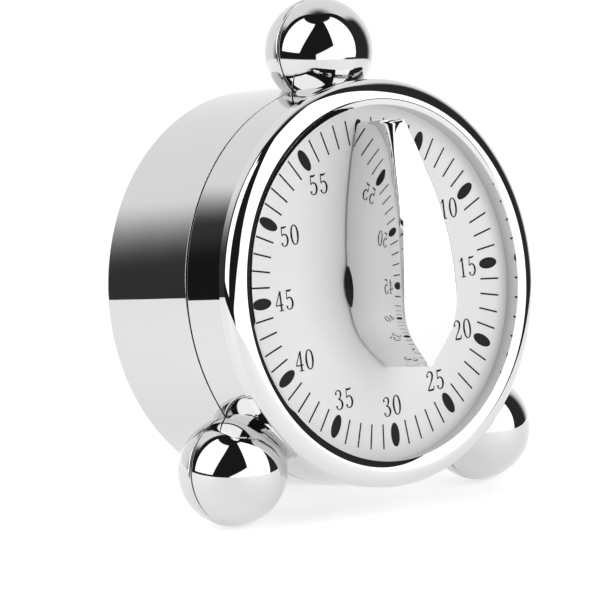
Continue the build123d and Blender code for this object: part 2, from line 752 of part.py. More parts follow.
def screw_nodes():
    """The three sets of screws, each set one node."""
    plate = make_screws(
        PILLAR_ANGLES, PILLAR_PITCH_R, REAR_PLATE_Y + PLATE_T, REAR_PLATE_Y - 3, PLATE_SCREW_R, 1.7, 1.0
    )
    movement = make_screws(
        MOUNT_ANGLES, MOUNT_PITCH_R, FRONT_PLATE_Y + PLATE_T, DIAL_T + 0.1, MOUNT_SCREW_R, 1.3, 0.9
    )
    case = make_screws(
        BOSS_ANGLES, BOSS_PITCH_R, BACK_Y - SCREW_RECESS, BOSS_END_Y - 6, SCREW_R, 2.1, 1.1
    )
    return {
        "plate_screws": Compound(plate),
        "movement_screws": Compound(movement),
        "case_screws": Compound(case),
    }


def collect():
    nodes = {}
    nodes["front_case"] = make_front_case()
    nodes["rear_case"] = make_rear_case()
    nodes["bezel"] = make_bezel()
    nodes["dial"] = turned(make_dial())
    nodes["knob"] = turned(make_knob())
    nodes["knob_clip"] = turned(make_knob_clip())
    nodes["main_arbor"] = make_main_arbor()
    nodes["main_wheel"] = make_main_wheel()
    nodes["ratchet_wheel"] = make_ratchet_wheel()
    nodes["click"] = make_click()
    nodes["click_rivet"] = make_click_rivet()
    nodes["click_spring"] = make_click_spring()
    nodes["let_off_cam"] = make_cam()
    nodes["mainspring"] = make_mainspring()
    nodes["second_pinion"] = make_second_pinion()
    nodes["second_wheel"] = make_second_wheel()
    nodes["third_pinion"] = make_train_pinion(THIRD, SECOND, LEVEL_A)
    nodes["third_wheel"] = make_third_wheel()
    nodes["escape_pinion"] = make_train_pinion(ESCAPE, THIRD, LEVEL_B)
    nodes["escape_wheel"] = make_escape_wheel()
    nodes["balance"] = make_balance()
    nodes["front_plate"] = make_front_plate()
    nodes["rear_plate"] = make_rear_plate()
    nodes["pillars"] = Compound(make_pillars())
    nodes.update(screw_nodes())
    nodes["bell"] = make_bell()
    nodes["bell_screw"] = make_bell_screw()
    nodes["hammer"] = make_hammer()
    nodes["hammer_spring"] = make_hammer_spring()
    return nodes


def stand(nodes):
    """Leans every node back, then puts the middle of the footprint at the origin."""
    leaned = {name: Rot(-LEAN, 0, 0) * part for name, part in nodes.items()}
    boxes = [part.bounding_box() for part in leaned.values()]
    low_y = min(box.min.Y for box in boxes)
    high_y = max(box.max.Y for box in boxes)
    foot_z = -BALL_PITCH_R * sin(radians(45))
    floor_z = foot_z * cos(radians(LEAN)) - SEAM_Y * sin(radians(LEAN)) - BALL_R
    shift = Pos(0, -(low_y + high_y) / 2, -floor_z)
    return {name: shift * part for name, part in leaned.items()}


os.makedirs("parts", exist_ok=True)
for node, part in stand(collect()).items():
    export_step(part, f"parts/{node}.step")
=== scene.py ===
"""The looks of a plated mechanical lab timer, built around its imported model.

Everything is drawn in the case's own upright frame, in millimetres: X right as seen
from the front, Y from the dial to the back, Z up, with zero in the middle of the dial's
face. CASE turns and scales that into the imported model's frame, where the timer leans
back. Angles round the dial are in degrees, anticlockwise from +X unless they say otherwise.
"""

import json
from math import cos, pi, radians, sin, sqrt, tan

import bpy
from mathutils import Matrix, Vector


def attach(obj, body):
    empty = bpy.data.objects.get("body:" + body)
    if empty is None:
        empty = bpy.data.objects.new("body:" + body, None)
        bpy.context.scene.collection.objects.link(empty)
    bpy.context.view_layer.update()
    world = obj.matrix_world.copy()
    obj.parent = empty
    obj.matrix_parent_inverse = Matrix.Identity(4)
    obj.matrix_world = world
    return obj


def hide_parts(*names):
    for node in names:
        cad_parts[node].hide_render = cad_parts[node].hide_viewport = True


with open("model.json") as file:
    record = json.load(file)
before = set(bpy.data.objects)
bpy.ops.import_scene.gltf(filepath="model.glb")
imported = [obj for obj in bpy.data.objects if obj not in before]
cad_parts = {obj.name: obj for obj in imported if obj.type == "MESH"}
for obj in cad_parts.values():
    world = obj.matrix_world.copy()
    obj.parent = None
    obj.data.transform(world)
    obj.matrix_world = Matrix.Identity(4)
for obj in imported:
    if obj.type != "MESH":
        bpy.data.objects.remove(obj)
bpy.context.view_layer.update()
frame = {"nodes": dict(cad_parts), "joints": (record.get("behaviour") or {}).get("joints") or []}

# The case's frame, taken from the knob's joint ------------------------------------------

MM = 0.001
KNOB_JOINT = next(joint for joint in frame["joints"] if joint["name"] == "knob_turn")
DIAL_CENTRE = Vector(KNOB_JOINT["pos_m"])
AXIS_Y = Vector(KNOB_JOINT["axis"]).normalized()
AXIS_X = Vector((1, 0, 0))
AXIS_Z = AXIS_X.cross(AXIS_Y)
TURN = Matrix((AXIS_X, AXIS_Y, AXIS_Z)).transposed().to_4x4()
CASE = Matrix.Translation(DIAL_CENTRE) @ TURN @ Matrix.Scale(MM, 4)
TO_CASE = CASE.inverted()


def case_extent(node, axis):
    """The lowest and highest coordinate of a CAD node along one axis of the case's frame."""
    values = [(TO_CASE @ vertex.co)[axis] for vertex in frame["nodes"][node].data.vertices]
    return min(values), max(values)


# Sizes in millimetres, read from the frame where it has them ------------------------------

BACK_Y = case_extent("rear_case", 1)[1]
BACK_WALL = 2.0
CASE_R = 31.75
CASE_WALL = 2.0
SEAM_Y = 8.4
BALL_R = 8.5
BALL_WALL = 1.6
BALL_PITCH_R = 36.9
BALL_ANGLES = (90, -45, -135)
BEZEL_R = case_extent("bezel", 0)[1]
BEZEL_FRONT_Y = case_extent("bezel", 1)[0]
BEZEL_CROWN_R = 3.2          # the front of the roll is broader than its shoulder
BEZEL_CROWN_AT = 29.3        # radius of the crown's centre
BEZEL_LIP_DEG = -117         # where the roll ends over the dial
BEZEL_TURN_DEG = -50         # where the crown gives way to the tighter shoulder
BEZEL_FOOT_Y = 0.5
BEZEL_CHAMFER = 0.2
DIAL_FIT = 0.05              # between the dial's edge and the bezel
DIAL_R = case_extent("dial", 0)[1]
DIAL_T = case_extent("dial", 1)[1]
DIAL_BORE_R = 3.6
DIAL_TURN = -1.5             # clockwise from the top ball, as seen from the front

ROUND_STEPS = 288            # faces round the drum and bezel
BALL_STEPS = 128
CREASE = 35                  # degrees; edges that turn by more are sharp
SUPPORT = 0.05               # loops this close to a corner keep flat stretches flat
LONG_STRETCH = 8 * SUPPORT   # shorter stretches of a profile get no such loops

# Building meshes --------------------------------------------------------------------------


def mesh_from(name, points, faces, crease=CREASE):
    """A smooth-shaded mesh with sharp edges wherever it turns by more than crease."""
    mesh = bpy.data.meshes.new(name)
    mesh.from_pydata([tuple(p) for p in points], [], faces)
    mesh.validate()
    for polygon in mesh.polygons:
        polygon.use_smooth = True
    mesh.set_sharp_from_angle(angle=radians(crease))
    return mesh


def new_piece(name, mesh, body, slot, material, *replaced):
    """Links a mesh drawn in the case's frame as a piece that rides on a body."""
    mesh.transform(CASE)
    mesh.materials.clear()
    mesh.materials.append(material)
    piece = bpy.data.objects.new(name, mesh)
    bpy.context.scene.collection.objects.link(piece)
    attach(piece, body)
    if replaced:
        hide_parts(*replaced)
    return piece


def join(parts):
    """Puts several points-and-faces pairs into one."""
    points, faces = [], []
    for more_points, more_faces in parts:
        offset = len(points)
        points += [tuple(p) for p in more_points]
        faces += [tuple(i + offset for i in face) for face in more_faces]
    return points, faces


def supported(profile):
    """Adds a point just inside each end of every long straight stretch of a profile."""
    made = [profile[0]]
    for start, end in zip(profile, profile[1:]):
        length = sqrt((end[0] - start[0])**2 + (end[1] - start[1])**2)
        if length > LONG_STRETCH:
            for share in (SUPPORT / length, 1 - SUPPORT / length):
                made.append(tuple(a + (b - a) * share for a, b in zip(start, end)))
        made.append(end)
    return made


def lathe(profile, steps=ROUND_STEPS, centre=(0.0, 0.0)):
    """Spins a closed outline of radius, y points about an axis along Y."""
    points, rows = [], []
    for radius, y in supported(profile + profile[:1])[:-1]:
        if radius == 0:
            rows.append([len(points)] * steps)
            points.append((centre[0], y, centre[1]))
            continue
        rows.append([len(points) + i for i in range(steps)])
        for i in range(steps):
            angle = 2 * pi * i / steps
            points.append((centre[0] + radius * cos(angle), y, centre[1] + radius * sin(angle)))
    faces = []
    for near, far in zip(rows, rows[1:] + rows[:1]):
        for i in range(steps):
            k = (i + 1) % steps
            corners = tuple(dict.fromkeys((near[i], far[i], far[k], near[k])))
            if len(corners) > 2:
                faces.append(corners)
    return points, faces


def prism(outline, y0, y1):
    """A closed plate: an x, z outline drawn out between two Y planes."""
    count = len(outline)
    points = [(x, y0, z) for x, z in outline] + [(x, y1, z) for x, z in outline]
    faces = [tuple(range(count)), tuple(range(2 * count - 1, count - 1, -1))]
    for i in range(count):
        k = (i + 1) % count
        faces.append((k, i, i + count, k + count))
    return points, faces


def arc(centre, radius, start, end, count):
    """Radius, y points on an arc; angles in degrees, 0 outwards and 90 to the back."""
    angles = [radians(start + (end - start) * i / count) for i in range(count + 1)]
    return [(centre[0] + radius * cos(a), centre[1] + radius * sin(a)) for a in angles]


def on_circle(radius, angle):
    """The x and z of a point on a circle round the case's axis."""
    return radius * cos(radians(angle)), radius * sin(radians(angle))


def turned(outline, angle):
    """An x, z outline turned round the case's axis."""
    c, s = on_circle(1, angle)
    return [(x * c - z * s, x * s + z * c) for x, z in outline]


def cut(mesh, cutter_mesh):
    """The mesh with the cutter taken away from it."""
    objects = [bpy.data.objects.new("work", part) for part in (mesh, cutter_mesh)]
    for part in objects:
        bpy.context.scene.collection.objects.link(part)
    modifier = objects[0].modifiers.new("cut", "BOOLEAN")
    modifier.object = objects[1]
    modifier.operation = "DIFFERENCE"
    modifier.solver = "EXACT"
    bpy.context.view_layer.update()
    shown = objects[0].evaluated_get(bpy.context.evaluated_depsgraph_get())
    result = bpy.data.meshes.new_from_object(shown)
    for part in objects:
        bpy.data.objects.remove(part)
    result.set_sharp_from_angle(angle=radians(CREASE))
    return result


# Materials --------------------------------------------------------------------------------


NOISE_RANGE = (0.35, 0.7)    # the part of the noise texture's output that is spread out


def new_material(name, colour, metallic, roughness):
    """A plain material; colour is linear red, green and blue."""
    material = bpy.data.materials.new(name)
    material.use_nodes = True
    shader = material.node_tree.nodes["Principled BSDF"]
    shader.inputs["Base Color"].default_value = (*colour, 1)
    shader.inputs["Metallic"].default_value = metallic
    shader.inputs["Roughness"].default_value = roughness
    return material


def add_noise(material, scale, detail):
    """A noise texture; scale is in features per metre."""
    nodes = material.node_tree.nodes
    coords = nodes.new("ShaderNodeTexCoord")
    texture = nodes.new("ShaderNodeTexNoise")
    texture.inputs["Scale"].default_value = scale
    texture.inputs["Detail"].default_value = detail
    material.node_tree.links.new(coords.outputs["Object"], texture.inputs["Vector"])
    return texture


def vary_roughness(material, texture, low, high):
    """Lets a texture drive the polish between two roughnesses."""
    tree = material.node_tree
    spread = tree.nodes.new("ShaderNodeMapRange")
    spread.inputs["From Min"].default_value = NOISE_RANGE[0]
    spread.inputs["From Max"].default_value = NOISE_RANGE[1]
    spread.inputs["To Min"].default_value = low
    spread.inputs["To Max"].default_value = high
    tree.links.new(texture.outputs["Fac"], spread.inputs["Value"])
    tree.links.new(spread.outputs["Result"], tree.nodes["Principled BSDF"].inputs["Roughness"])


def add_bump(material, texture, strength, height):
    """Raises the surface by a texture; height is in metres."""
    tree = material.node_tree
    bump = tree.nodes.new("ShaderNodeBump")
    bump.inputs["Strength"].default_value = strength
    bump.inputs["Distance"].default_value = height
    tree.links.new(texture.outputs["Fac"], bump.inputs["Height"])
    tree.links.new(bump.outputs["Normal"], tree.nodes["Principled BSDF"].inputs["Normal"])


def vary_colour(material, texture, first, second):
    """Lets a texture mix two colours."""
    tree = material.node_tree
    mix = tree.nodes.new("ShaderNodeMix")
    mix.data_type = "RGBA"
    colours = [socket for socket in mix.inputs if socket.type == "RGBA"]
    colours[0].default_value = (*first, 1)
    colours[1].default_value = (*second, 1)
    tree.links.new(texture.outputs["Fac"], mix.inputs["Factor"])
    result = next(socket for socket in mix.outputs if socket.type == "RGBA")
    tree.links.new(result, tree.nodes["Principled BSDF"].inputs["Base Color"])


def plating(name, grey, wave_height):
    """Bright plating on moulded plastic: a mirror with a faint haze and a slow wave."""
    material = new_material(name, (grey, grey, grey), 1.0, 0.03)
    vary_roughness(material, add_noise(material, 120, 5), 0.008, 0.05)
    add_bump(material, add_noise(material, 70, 1), 0.3, wave_height)
    return material


def metal(name, first, second, roughness, grain):
    """A worked metal: colour and polish vary over its grain, which stands slightly proud."""
    material = new_material(name, first, 1.0, sum(roughness) / 2)
    texture = add_noise(material, grain, 4)
    vary_colour(material, texture, first, second)
    vary_roughness(material, texture, *roughness)
    add_bump(material, texture, 0.15, 0.00002)
    return material


def dial_paint():
    """Satin white paint with a very fine grain."""
    material = new_material("satin_dial_paint", (0.77, 0.77, 0.775), 0.0, 0.4)
    texture = add_noise(material, 2600, 3)
    vary_roughness(material, texture, 0.3, 0.48)
    add_bump(material, texture, 0.1, 0.00002)
    return material


def dial_ink():
    """Matt black printing ink, a little uneven."""
    material = new_material("dial_ink", (0.01, 0.01, 0.01), 0.0, 0.5)
    material.node_tree.nodes["Principled BSDF"].inputs["Specular IOR Level"].default_value = 0.15
    texture = add_noise(material, 3000, 3)
    vary_colour(material, texture, (0.003, 0.003, 0.003), (0.018, 0.018, 0.019))
    vary_roughness(material, texture, 0.35, 0.6)
    return material


def black_moulding():
    """A near-black material for the disc under the knob's wing."""
    material = new_material("black_moulding", (0.006, 0.006, 0.006), 0.0, 0.35)
    material.node_tree.nodes["Principled BSDF"].inputs["Specular IOR Level"].default_value = 0.2
    texture = add_noise(material, 4000, 2)
    vary_roughness(material, texture, 0.28, 0.45)
    add_bump(material, texture, 0.2, 0.00002)
    return material


MATERIALS = {
    "case": plating("plated_case", 0.66, 0.00004),
    "bezel": plating("plated_bezel", 0.70, 0.00002),
    "knob": plating("plated_knob", 0.82, 0.00001),
    "dial": dial_paint(),
    "ink": dial_ink(),
    "black": black_moulding(),
    "brass": metal("stamped_brass", (0.78, 0.56, 0.24), (0.62, 0.42, 0.16), (0.2, 0.42), 900),
    "steel": metal("turned_steel", (0.6, 0.6, 0.61), (0.46, 0.46, 0.48), (0.15, 0.34), 1800),
    "spring": metal("blued_spring", (0.14, 0.17, 0.26), (0.3, 0.32, 0.38), (0.2, 0.4), 1200),
    "screw": metal("zinc_screw", (0.66, 0.66, 0.68), (0.5, 0.5, 0.52), (0.2, 0.42), 2200),
    "bell": metal("nickel_bell", (0.72, 0.7, 0.66), (0.6, 0.58, 0.55), (0.08, 0.22), 700),
}

CARRIED_OVER = {
    "brass": ("main_wheel", "second_wheel", "third_wheel", "escape_wheel", "front_plate",
              "rear_plate", "let_off_cam"),
    "steel": ("main_arbor", "second_pinion", "third_pinion", "escape_pinion", "pillars",
              "balance", "click", "click_rivet", "ratchet_wheel"),
    "spring": ("mainspring", "click_spring", "hammer_spring", "knob_clip"),
    "screw": ("plate_screws", "movement_screws", "case_screws", "bell_screw", "hammer"),
    "bell": ("bell",),
}

for key, names in CARRIED_OVER.items():
    for name in names:
        frame["nodes"][name].data.materials.clear()
        frame["nodes"][name].data.materials.append(MATERIALS[key])

# Case: two plated shells that meet at a parting plane through the balls --------------------

DRUM_GAP = 0.18              # half the gap between the shells
DRUM_LIP_R = 0.08            # rounding of each shell's edge there
BALL_GAP = 0.16              # half the gap between the halves of a ball
BALL_LIP_R = 0.3
BALL_LIP_INSET = 0.02        # the lip's rounding stays this far inside the ball
BALL_LAND = 1.2              # width of each half ball's edge
FRONT_DRAFT = 3.5            # degrees that the front shell narrows towards the bezel
BACK_EDGE_R = 0.4
WALL_COVER = 0.4             # how far a half ball runs into the drum's wall


def half_ball(angle, side):
    """Half a ball, in front of the parting plane (side -1) or behind it (side 1)."""
    x, z = on_circle(BALL_PITCH_R, angle)
    lip_y = SEAM_Y + side * BALL_GAP
    outline = [(0.0, SEAM_Y + side * BALL_R)]
    outline += arc((0.0, SEAM_Y), BALL_R, side * 89, side * 3, 48)
    lip_centre = (BALL_R - BALL_LIP_R - BALL_LIP_INSET, lip_y + side * BALL_LIP_R)
    outline += arc(lip_centre, BALL_LIP_R, 0, -side * 90, 6)
    outline += [(BALL_R - BALL_LAND, lip_y), (0.0, SEAM_Y + side * (BALL_R - BALL_WALL))]
    if side > 0:
        outline.reverse()
    points, faces = lathe(outline, BALL_STEPS, (x, z))
    reach = CASE_R - WALL_COVER

    def outside(face):
        """Whether any corner of a face stands clear of the drum."""
        return any(points[i][0]**2 + points[i][2]**2 > reach**2 for i in face)

    kept = [face for face in faces if outside(face)]
    used = sorted({i for face in kept for i in face})
    renumbered = {old: new for new, old in enumerate(used)}
    return [points[i] for i in used], [tuple(renumbered[i] for i in face) for face in kept]


def drum_lip(side):
    """The rounded edge of a shell, from its outside in to the parting gap."""
    centre = (CASE_R - DRUM_LIP_R, SEAM_Y + side * (DRUM_GAP + DRUM_LIP_R))
    return arc(centre, DRUM_LIP_R, 0, -side * 90, 5)


def make_front_shell():
    """The front band of the drum with the front halves of the balls."""
    inner_r = CASE_R - CASE_WALL
    mouth_r = CASE_R - (SEAM_Y - BEZEL_FOOT_Y) * tan(radians(FRONT_DRAFT))
    outline = [(mouth_r, BEZEL_FOOT_Y)] + drum_lip(-1)
    outline += [(inner_r, SEAM_Y - DRUM_GAP), (inner_r, BEZEL_FOOT_Y)]
    parts = [lathe(outline)] + [half_ball(angle, -1) for angle in BALL_ANGLES]
    mesh = mesh_from("front_shell", *join(parts))
    new_piece("front_shell", mesh, "root", "plated_case", MATERIALS["case"], "front_case")


SLOT_COUNT = 12              # sound slots in the back wall
SLOT_ENDS = (10.0, 19.0)
SLOT_HALF_W = 0.8
RECESS_ANGLES = (90, 210, 330)   # the three case screws
RECESS_PITCH_R = 27.7
RECESS_R = 2.3
RECESS_DEPTH = 1.4
SCREW_HOLE_R = 1.15
SCREW_HOLE_DEPTH = 5.0
RECESS_STEPS = 48
END_STEPS = 12               # faces round each end of a slot


def slot_cutter(angle):
    """A long rounded bar along a radius, right through the back wall."""
    outline = []
    for end, first in ((SLOT_ENDS[1], -90), (SLOT_ENDS[0], 90)):
        for i in range(END_STEPS + 1):
            x, z = on_circle(SLOT_HALF_W, first + 180 * i / END_STEPS)
            outline.append((end + x, z))
    return prism(turned(outline, angle), BACK_Y - 2 * BACK_WALL, BACK_Y + BACK_WALL)


def recess_cutter(angle):
    """A screw's round recess and the narrower hole below it."""
    clear = BACK_Y + 1
    recess_floor = BACK_Y - RECESS_DEPTH
    hole_end = BACK_Y - SCREW_HOLE_DEPTH
    outline = [(RECESS_R, clear), (0.0, clear), (0.0, hole_end), (SCREW_HOLE_R, hole_end)]
    outline += [(SCREW_HOLE_R, recess_floor), (RECESS_R, recess_floor)]
    return lathe(outline, RECESS_STEPS, on_circle(RECESS_PITCH_R, angle))


def make_rear_shell():
    """The rear drum, cut for its slots and screws, and the rear halves of the balls."""
    inner_r = CASE_R - CASE_WALL
    outline = drum_lip(1)[::-1]
    outline += arc((CASE_R - BACK_EDGE_R, BACK_Y - BACK_EDGE_R), BACK_EDGE_R, 0, 90, 8)
    outline += [(0.0, BACK_Y), (0.0, BACK_Y - BACK_WALL), (inner_r, BACK_Y - BACK_WALL)]
    outline += [(inner_r, SEAM_Y + DRUM_GAP)]
    drum = mesh_from("rear_drum", *lathe(outline))
    step = 360 / SLOT_COUNT
    cutters = [slot_cutter(step * (i + 0.5)) for i in range(SLOT_COUNT)]
    cutters += [recess_cutter(angle) for angle in RECESS_ANGLES]
    mesh = cut(drum, mesh_from("cutters", *join(cutters)))
    balls = mesh_from("rear_balls", *join([half_ball(angle, 1) for angle in BALL_ANGLES]))
    new_piece("rear_shell", mesh, "root", "plated_case", MATERIALS["case"], "rear_case")
    new_piece("rear_balls", balls, "root", "plated_case", MATERIALS["case"])


def make_bezel():
    """A rolled ring whose inner wall runs down to the dial."""
    foot_r = CASE_R - CASE_WALL
    seat_r = DIAL_R + DIAL_FIT
    crown = (BEZEL_CROWN_AT, BEZEL_FRONT_Y + BEZEL_CROWN_R)
    outline = arc(crown, BEZEL_CROWN_R, BEZEL_LIP_DEG, BEZEL_TURN_DEG, 56)
    inner_r = outline[0][0]
    spare = BEZEL_R - BEZEL_CROWN_AT
    lean = cos(radians(BEZEL_TURN_DEG))
    shoulder_r = (spare - BEZEL_CROWN_R * lean) / (1 - lean)
    reach = BEZEL_CROWN_R - shoulder_r
    shoulder = (crown[0] + reach * lean, crown[1] + reach * sin(radians(BEZEL_TURN_DEG)))
    outline += arc(shoulder, shoulder_r, BEZEL_TURN_DEG, 0, 24)[1:]
    outline += [(BEZEL_R, BEZEL_FOOT_Y - BEZEL_CHAMFER), (BEZEL_R - BEZEL_CHAMFER, BEZEL_FOOT_Y)]
    outline += [(foot_r, BEZEL_FOOT_Y), (foot_r, DIAL_T), (seat_r, DIAL_T)]
    outline += [(seat_r, 0.0), (inner_r, 0.0)]
    mesh = mesh_from("bezel_ring", *lathe(outline))
    new_piece("bezel_ring", mesh, "root", "plated_bezel", MATERIALS["bezel"], "bezel")


# Dial and its print -------------------------------------------------------------------------

TICK_R = (22.1, 26.0)        # inner and outer ends
TICK_HALF_W = 0.13
OVAL_R = 23.96
OVAL_HALF = (1.9, 0.88)      # half the length and half the width
NUMERAL_R = 19.4
NUMERAL_H = 3.15
DIGIT_STEP = 0.66            # from one digit to the next, in heights
DIGIT_W = 0.52               # also in heights
INK_T = 0.03
OVAL_STEPS = 40
CURVE_STEPS = 6              # stretches between two points of a stroke

# Each stroke is a line of x, z and full width, in heights, with z up from the baseline.
DIGITS = {
    "0": [[(0.26, 0.98, 0.05), (0.41, 0.85, 0.09), (0.47, 0.5, 0.12), (0.41, 0.15, 0.09),
           (0.26, 0.02, 0.05), (0.11, 0.15, 0.09), (0.05, 0.5, 0.12), (0.11, 0.85, 0.09),
           (0.26, 0.98, 0.05)]],
    "1": [[(0.12, 0.8, 0.03), (0.21, 0.88, 0.06), (0.29, 0.99, 0.07)],
          [(0.29, 0.99, 0.1), (0.29, 0.02, 0.1)],
          [(0.14, 0.02, 0.05), (0.44, 0.02, 0.05)]],
    "2": [[(0.11, 0.7, 0.12), (0.08, 0.82, 0.06), (0.16, 0.94, 0.05), (0.28, 0.97, 0.07),
           (0.42, 0.86, 0.11), (0.41, 0.66, 0.11), (0.3, 0.43, 0.07), (0.14, 0.2, 0.06),
           (0.06, 0.04, 0.06)],
          [(0.05, 0.05, 0.08), (0.38, 0.05, 0.1), (0.45, 0.12, 0.05), (0.48, 0.24, 0.04)]],
    "3": [[(0.1, 0.77, 0.13), (0.09, 0.88, 0.06), (0.22, 0.97, 0.05), (0.37, 0.9, 0.09),
           (0.39, 0.75, 0.11), (0.33, 0.6, 0.07), (0.2, 0.54, 0.04)],
          [(0.2, 0.54, 0.04), (0.36, 0.48, 0.08), (0.45, 0.29, 0.12), (0.39, 0.1, 0.09),
           (0.23, 0.02, 0.05), (0.09, 0.1, 0.06), (0.08, 0.22, 0.13)]],
    "4": [[(0.36, 0.98, 0.06), (0.18, 0.62, 0.05), (0.03, 0.29, 0.05)],
          [(0.03, 0.29, 0.06), (0.5, 0.29, 0.06)],
          [(0.36, 0.98, 0.1), (0.36, 0.02, 0.1)],
          [(0.22, 0.02, 0.05), (0.5, 0.02, 0.05)]],
    "5": [[(0.12, 0.95, 0.09), (0.28, 0.93, 0.1), (0.43, 0.98, 0.05)],
          [(0.12, 0.97, 0.05), (0.1, 0.53, 0.05)],
          [(0.1, 0.53, 0.05), (0.24, 0.61, 0.06), (0.39, 0.53, 0.09), (0.45, 0.32, 0.12),
           (0.38, 0.1, 0.09), (0.23, 0.02, 0.05), (0.09, 0.09, 0.06), (0.08, 0.21, 0.13)]],
}


def smooth_line(points, steps=CURVE_STEPS):
    """More points along a line of tuples, on a Catmull-Rom curve through them."""
    if len(points) == 2:
        return points
    closed = points[0] == points[-1]
    before = points[-2] if closed else points[0]
    after = points[1] if closed else points[-1]
    ends = [before] + points + [after]
    made = []
    for a, b, c, d in zip(ends, ends[1:], ends[2:], ends[3:]):
        for i in range(steps):
            t = i / steps
            made.append(tuple(
                0.5 * (2 * q + (r - p) * t + (2 * p - 5 * q + 4 * r - s) * t**2
                       + (3 * q - p - 3 * r + s) * t**3)
                for p, q, r, s in zip(a, b, c, d)))
    return made + [points[-1]]


def stroke(points):
    """A thin printed line with its own width at each point, standing on the dial."""
    line = smooth_line(points)
    sides = []
    for i, (x, z, width) in enumerate(line):
        before, after = line[max(i - 1, 0)], line[min(i + 1, len(line) - 1)]
        if points[0] == points[-1] and i in (0, len(line) - 1):
            before, after = line[-2], line[1]
        along = Vector((after[0] - before[0], after[1] - before[1])).normalized()
        across = Vector((-along.y, along.x)) * width / 2
        sides.append(((x + across.x, z + across.y), (x - across.x, z - across.y)))
    made = []
    for (left_a, right_a), (left_b, right_b) in zip(sides, sides[1:]):
        made.append(prism([left_a, left_b, right_b, right_a], -INK_T, INK_T))
    return join(made)


def place_digit(digit, x, z):
    """The strokes of a digit with its lower left corner at x, z."""
    points, faces = join([stroke(line) for line in DIGITS[digit]])
    moved = []
    for px, py, pz in points:
        moved.append((x + px * NUMERAL_H, py, z + pz * NUMERAL_H))
    return moved, faces


def make_numerals():
    """The minutes in fives, upright, each centred on its own radius."""
    parts = []
    for minute in range(0, 60, 5):
        x, z = on_circle(NUMERAL_R, 90 - 6 * minute)
        text = str(minute)
        width = (DIGIT_STEP * (len(text) - 1) + DIGIT_W) * NUMERAL_H
        for i, digit in enumerate(text):
            left = x - width / 2 + i * DIGIT_STEP * NUMERAL_H
            parts.append(place_digit(digit, left, z - NUMERAL_H / 2))
    return parts


def make_marks():
    """A tick for each minute, with an oval in place of every fifth."""
    parts = []
    for minute in range(60):
        angle = 90 - 6 * minute
        if minute % 5 == 0:
            outline = []
            for i in range(OVAL_STEPS):
                turn = 2 * pi * i / OVAL_STEPS
                outline.append((OVAL_R + OVAL_HALF[0] * cos(turn), OVAL_HALF[1] * sin(turn)))
        else:
            outline = [(TICK_R[0], -TICK_HALF_W), (TICK_R[1], -TICK_HALF_W),
                       (TICK_R[1], TICK_HALF_W), (TICK_R[0], TICK_HALF_W)]
        parts.append(prism(turned(outline, angle), -INK_T, INK_T))
    return parts


def make_dial():
    """The dial's plate and, as a piece of its own, everything printed on it."""
    outline = [(DIAL_BORE_R, 0.0), (DIAL_R, 0.0), (DIAL_R, DIAL_T), (DIAL_BORE_R, DIAL_T)]
    plate = mesh_from("dial_plate", *lathe(outline))
    new_piece("dial_plate", plate, "root", "dial_paint", MATERIALS["dial"], "dial")
    print_mesh = mesh_from("dial_print", *join(make_marks() + make_numerals()))
    print_mesh.transform(Matrix.Rotation(radians(DIAL_TURN), 4, "Y"))
    new_piece("dial_print", print_mesh, "root", "dial_paint", MATERIALS["ink"])


# Knob ---------------------------------------------------------------------------------------

KNOB_FRONT_Y = case_extent("knob", 1)[0]
KNOB_FOOT = 0.3              # height of the wing's lower edge above the dial
KNOB_HALF_W = 6.5
KNOB_WIDE_Z = -3.0
KNOB_TIP_Z = 25.4
KNOB_TAIL_Z = -13.3
KNOB_TIP_HALF_W = 0.55
KNOB_CROWN_R = 85.0
KNOB_CROWN_Z = 7.0
KNOB_TIP_NOSE = 0.55         # length over which the point rounds off
KNOB_TAIL_NOSE = 0.8         # and the tail
KNOB_TAIL_HALF_W = 1.1
KNOB_TAIL_POWER = 2.2        # how squarely the tail closes
NARROW_HALF_W = 3.4          # where the wing is narrower, its walls lean in less
WALL_LEAN = 0.0068           # how fast the walls lean in, per mm of height squared
HOLLOW_FROM_Z = 5            # the walls hollow towards the face from here to the point
HOLLOW_LENGTH = 19.5
HOLLOW_LEAST = 0.3           # height of the hollow at its start
HOLLOW_GROWTH = 4.3          # and how much higher it is at the point
HOLLOW_DEPTH = 0.14          # in heights of the hollow
FOOT_R = 0.22                # rounding along the wing's lower edge
EDGE_R = 0.1                 # rounding between the walls and the face
SKIRT_R = 7.1
SKIRT_T = 0.7
SKIRT_EDGE_R = 0.3
SKIRT_BORE_R = 3.0


def half_width(z):
    """Half the wing's width at its foot: a long leaf upwards, a short round tail down."""
    if z >= KNOB_WIDE_Z:
        share = (z - KNOB_WIDE_Z) / (KNOB_TIP_Z - KNOB_WIDE_Z)
        width = KNOB_TIP_HALF_W + (KNOB_HALF_W - KNOB_TIP_HALF_W) * (1 - share**2)
        nose = max(KNOB_TIP_Z - z, 0) / KNOB_TIP_NOSE
        return width * sqrt(1 - (1 - nose)**2) if nose < 1 else width
    share = (KNOB_WIDE_Z - z) / (KNOB_WIDE_Z - KNOB_TAIL_Z)
    width = KNOB_HALF_W * (1 - share**KNOB_TAIL_POWER)
    nose = (z - KNOB_TAIL_Z) / KNOB_TAIL_NOSE
    if nose >= 1:
        return width
    return max(width, KNOB_TAIL_HALF_W * sqrt(max(1 - (1 - nose)**2, 0)))


def wall_half_width(foot_w, height, top, hollow):
    """Half the wing's width at a height: the walls lean in and hollow out below the face."""
    narrow = min(foot_w / NARROW_HALF_W, 1)
    bend = max(height - (top - hollow), 0) / hollow
    return foot_w - narrow * WALL_LEAN * height**2 - HOLLOW_DEPTH * hollow * bend**2 * narrow**0.5


